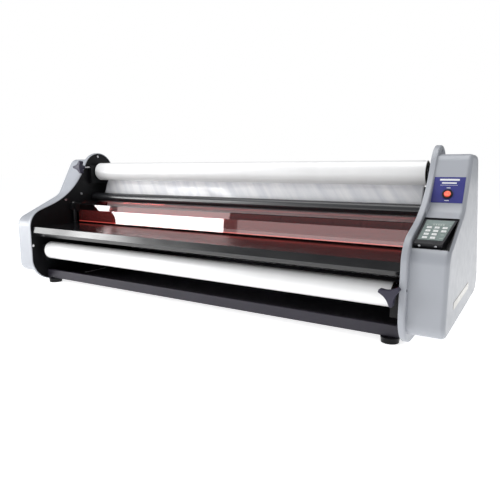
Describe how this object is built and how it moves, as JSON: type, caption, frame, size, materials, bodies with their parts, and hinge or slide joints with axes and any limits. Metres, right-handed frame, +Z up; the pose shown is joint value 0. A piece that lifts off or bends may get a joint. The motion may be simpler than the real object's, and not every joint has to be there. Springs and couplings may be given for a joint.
{
  "type": "roll laminator",
  "caption": "Wide table-top roll laminator with film supply rolls above and below the feed table, a geared pair of rubber rollers, tinted swing-up shield and a sloping control panel.",
  "frame": {"origin": "on the bench under the middle of the machine's box", "axes": "+X across the machine towards the control panel side, +Y from front to back, +Z up; the operator stands on the -Y side"},
  "size_m": [1.821, 0.7415, 0.5778],
  "materials": {
    "black_steel": "semi-gloss powder coat",
    "black_gloss": "glossy black coat on the feed table",
    "grey_plastic": "moulded silver-grey plastic with a soft sheen",
    "black_plastic": "satin black moulding",
    "knob_plastic": "dark grey moulding",
    "label_blue": "printed blue plate",
    "badge_plate": "plain pale plate",
    "rocker_red": "translucent red",
    "overlay_green": "grey-green printed film",
    "display_glass": "smoked window",
    "key_white": "white",
    "film_white": "wound laminating film",
    "web_film": "thin translucent film",
    "card": "wound card",
    "steel": "turned",
    "zinc_screws": "bright",
    "black_rubber": "ground rubber",
    "silicone": "ground roller covering",
    "tinted_acrylic": "red tinted clear acrylic",
    "motor_alloy": "cast",
    "circuit_green": "solder mask",
    "bearing_steel": "ground",
    "gear_steel": "machined"
  },
  "bodies": {
    "frame": {"base_pan": "black_steel", "left_side_plate": "black_steel", "right_side_plate": "black_steel", "tie_bars": "steel", "feed_table": "black_gloss", "exit_table": "black_gloss", "rear_guard": "black_steel", "left_cover": "grey_plastic", "right_cover": "grey_plastic", "cover_screws": "zinc_screws", "frame_screws": "zinc_screws", "side_badges": "badge_plate", "switch_label": "label_blue", "power_switch_body": "black_plastic", "keypad_recess": "black_plastic", "control_panel_housing": "black_plastic", "keypad_overlay": "overlay_green", "display_window": "display_glass", "control_board": "circuit_green", "power_supply": "motor_alloy", "mains_inlet": "black_plastic", "feet": "black_rubber", "roll_brackets": "black_steel", "roller_bearings": "bearing_steel", "shield_posts": "black_plastic", "drive_motor": "motor_alloy", "film_web": "web_film"},
    "upper_supply": {"upper_film": "film_white", "upper_core": "card", "upper_core_chucks": "black_plastic", "upper_mandrel": "steel"},
    "lower_supply": {"lower_film": "film_white", "lower_core": "card", "lower_core_chucks": "black_plastic", "lower_mandrel": "steel"},
    "upper_roller": {"upper_main_roller": "silicone", "upper_main_shaft": "steel", "upper_main_gear": "gear_steel"},
    "lower_roller": {"lower_main_roller": "silicone", "lower_main_shaft": "steel", "lower_main_gear": "gear_steel"},
    "pinion": {"motor_pinion": "gear_steel"},
    "idler": {"upper_idler": "black_steel"},
    "shield": {"shield_panel": "tinted_acrylic", "shield_arms": "black_steel"},
    "upper_brake": {"upper_brake_knob": "knob_plastic", "upper_brake_stud": "zinc_screws"},
    "lower_brake": {"lower_brake_knob": "knob_plastic", "lower_brake_stud": "zinc_screws"},
    "rocker": {"power_rocker": "rocker_red"},
    "key_1": {"key_1": "key_white"},
    "key_2": {"key_2": "key_white"},
    "key_3": {"key_3": "key_white"},
    "key_4": {"key_4": "key_white"},
    "key_5": {"key_5": "key_white"},
    "key_6": {"key_6": "key_white"},
    "key_7": {"key_7": "key_white"},
    "key_8": {"key_8": "key_white"},
    "key_9": {"key_9": "key_white"},
    "key_10": {"key_10": "key_white"}
  },
  "joints": [
    {"name": "upper_supply_spin", "type": "hinge", "parent": "frame", "child": "upper_supply", "pos_m": [0, 0.04977, 0.4885], "axis": [1, 0, 0], "continuous": true},
    {"name": "lower_supply_spin", "type": "hinge", "parent": "frame", "child": "lower_supply", "pos_m": [0, -0.26673, 0.145], "axis": [1, 0, 0], "continuous": true},
    {"name": "lower_roller_spin", "type": "hinge", "parent": "frame", "child": "lower_roller", "pos_m": [0, 0.03977, 0.215], "axis": [1, 0, 0], "continuous": true},
    {"name": "upper_roller_spin", "type": "hinge", "parent": "frame", "child": "upper_roller", "pos_m": [0, 0.03977, 0.299], "axis": [1, 0, 0], "continuous": true},
    {"name": "pinion_spin", "type": "hinge", "parent": "frame", "child": "pinion", "pos_m": [-0.809, 0.06977, 0.16304], "axis": [1, 0, 0], "continuous": true},
    {"name": "idler_spin", "type": "hinge", "parent": "frame", "child": "idler", "pos_m": [0, 0.02277, 0.3655], "axis": [1, 0, 0], "continuous": true},
    {"name": "shield_swing", "type": "hinge", "parent": "frame", "child": "shield", "pos_m": [0, -0.10923, 0.33], "axis": [-1, 0, 0], "range_deg": [0, 100]},
    {"name": "upper_brake_turn", "type": "hinge", "parent": "frame", "child": "upper_brake", "pos_m": [-0.78225, -0.06323, 0.5085], "axis": [0, -1, 0], "range_deg": [-180, 180]},
    {"name": "lower_brake_turn", "type": "hinge", "parent": "frame", "child": "lower_brake", "pos_m": [0.7705, -0.35073, 0.165], "axis": [0, -1, 0], "range_deg": [-180, 180]},
    {"name": "power_rocker_tilt", "type": "hinge", "parent": "frame", "child": "rocker", "pos_m": [0.8535, -0.08009, 0.426], "axis": [1, 0, 0], "range_deg": [0, 12]},
    {"name": "key_1_press", "type": "slide", "parent": "frame", "child": "key_1", "axis": [0, 0.3447, -0.9387], "range_m": [0, 0.0008], "stiffness_N_per_m": 400},
    {"name": "key_2_press", "type": "slide", "parent": "frame", "child": "key_2", "axis": [0, 0.3447, -0.9387], "range_m": [0, 0.0008], "stiffness_N_per_m": 400},
    {"name": "key_3_press", "type": "slide", "parent": "frame", "child": "key_3", "axis": [0, 0.3447, -0.9387], "range_m": [0, 0.0008], "stiffness_N_per_m": 400},
    {"name": "key_4_press", "type": "slide", "parent": "frame", "child": "key_4", "axis": [0, 0.3447, -0.9387], "range_m": [0, 0.0008], "stiffness_N_per_m": 400},
    {"name": "key_5_press", "type": "slide", "parent": "frame", "child": "key_5", "axis": [0, 0.3447, -0.9387], "range_m": [0, 0.0008], "stiffness_N_per_m": 400},
    {"name": "key_6_press", "type": "slide", "parent": "frame", "child": "key_6", "axis": [0, 0.3447, -0.9387], "range_m": [0, 0.0008], "stiffness_N_per_m": 400},
    {"name": "key_7_press", "type": "slide", "parent": "frame", "child": "key_7", "axis": [0, 0.3447, -0.9387], "range_m": [0, 0.0008], "stiffness_N_per_m": 400},
    {"name": "key_8_press", "type": "slide", "parent": "frame", "child": "key_8", "axis": [0, 0.3447, -0.9387], "range_m": [0, 0.0008], "stiffness_N_per_m": 400},
    {"name": "key_9_press", "type": "slide", "parent": "frame", "child": "key_9", "axis": [0, 0.3447, -0.9387], "range_m": [0, 0.0008], "stiffness_N_per_m": 400},
    {"name": "key_10_press", "type": "slide", "parent": "frame", "child": "key_10", "axis": [0, 0.3447, -0.9387], "range_m": [0, 0.0008], "stiffness_N_per_m": 400}
  ],
  "couplings": [
    {"joint": "upper_roller_spin", "follows": "lower_roller_spin", "ratio": -1},
    {"joint": "pinion_spin", "follows": "lower_roller_spin", "ratio": -2.3333}
  ]
}
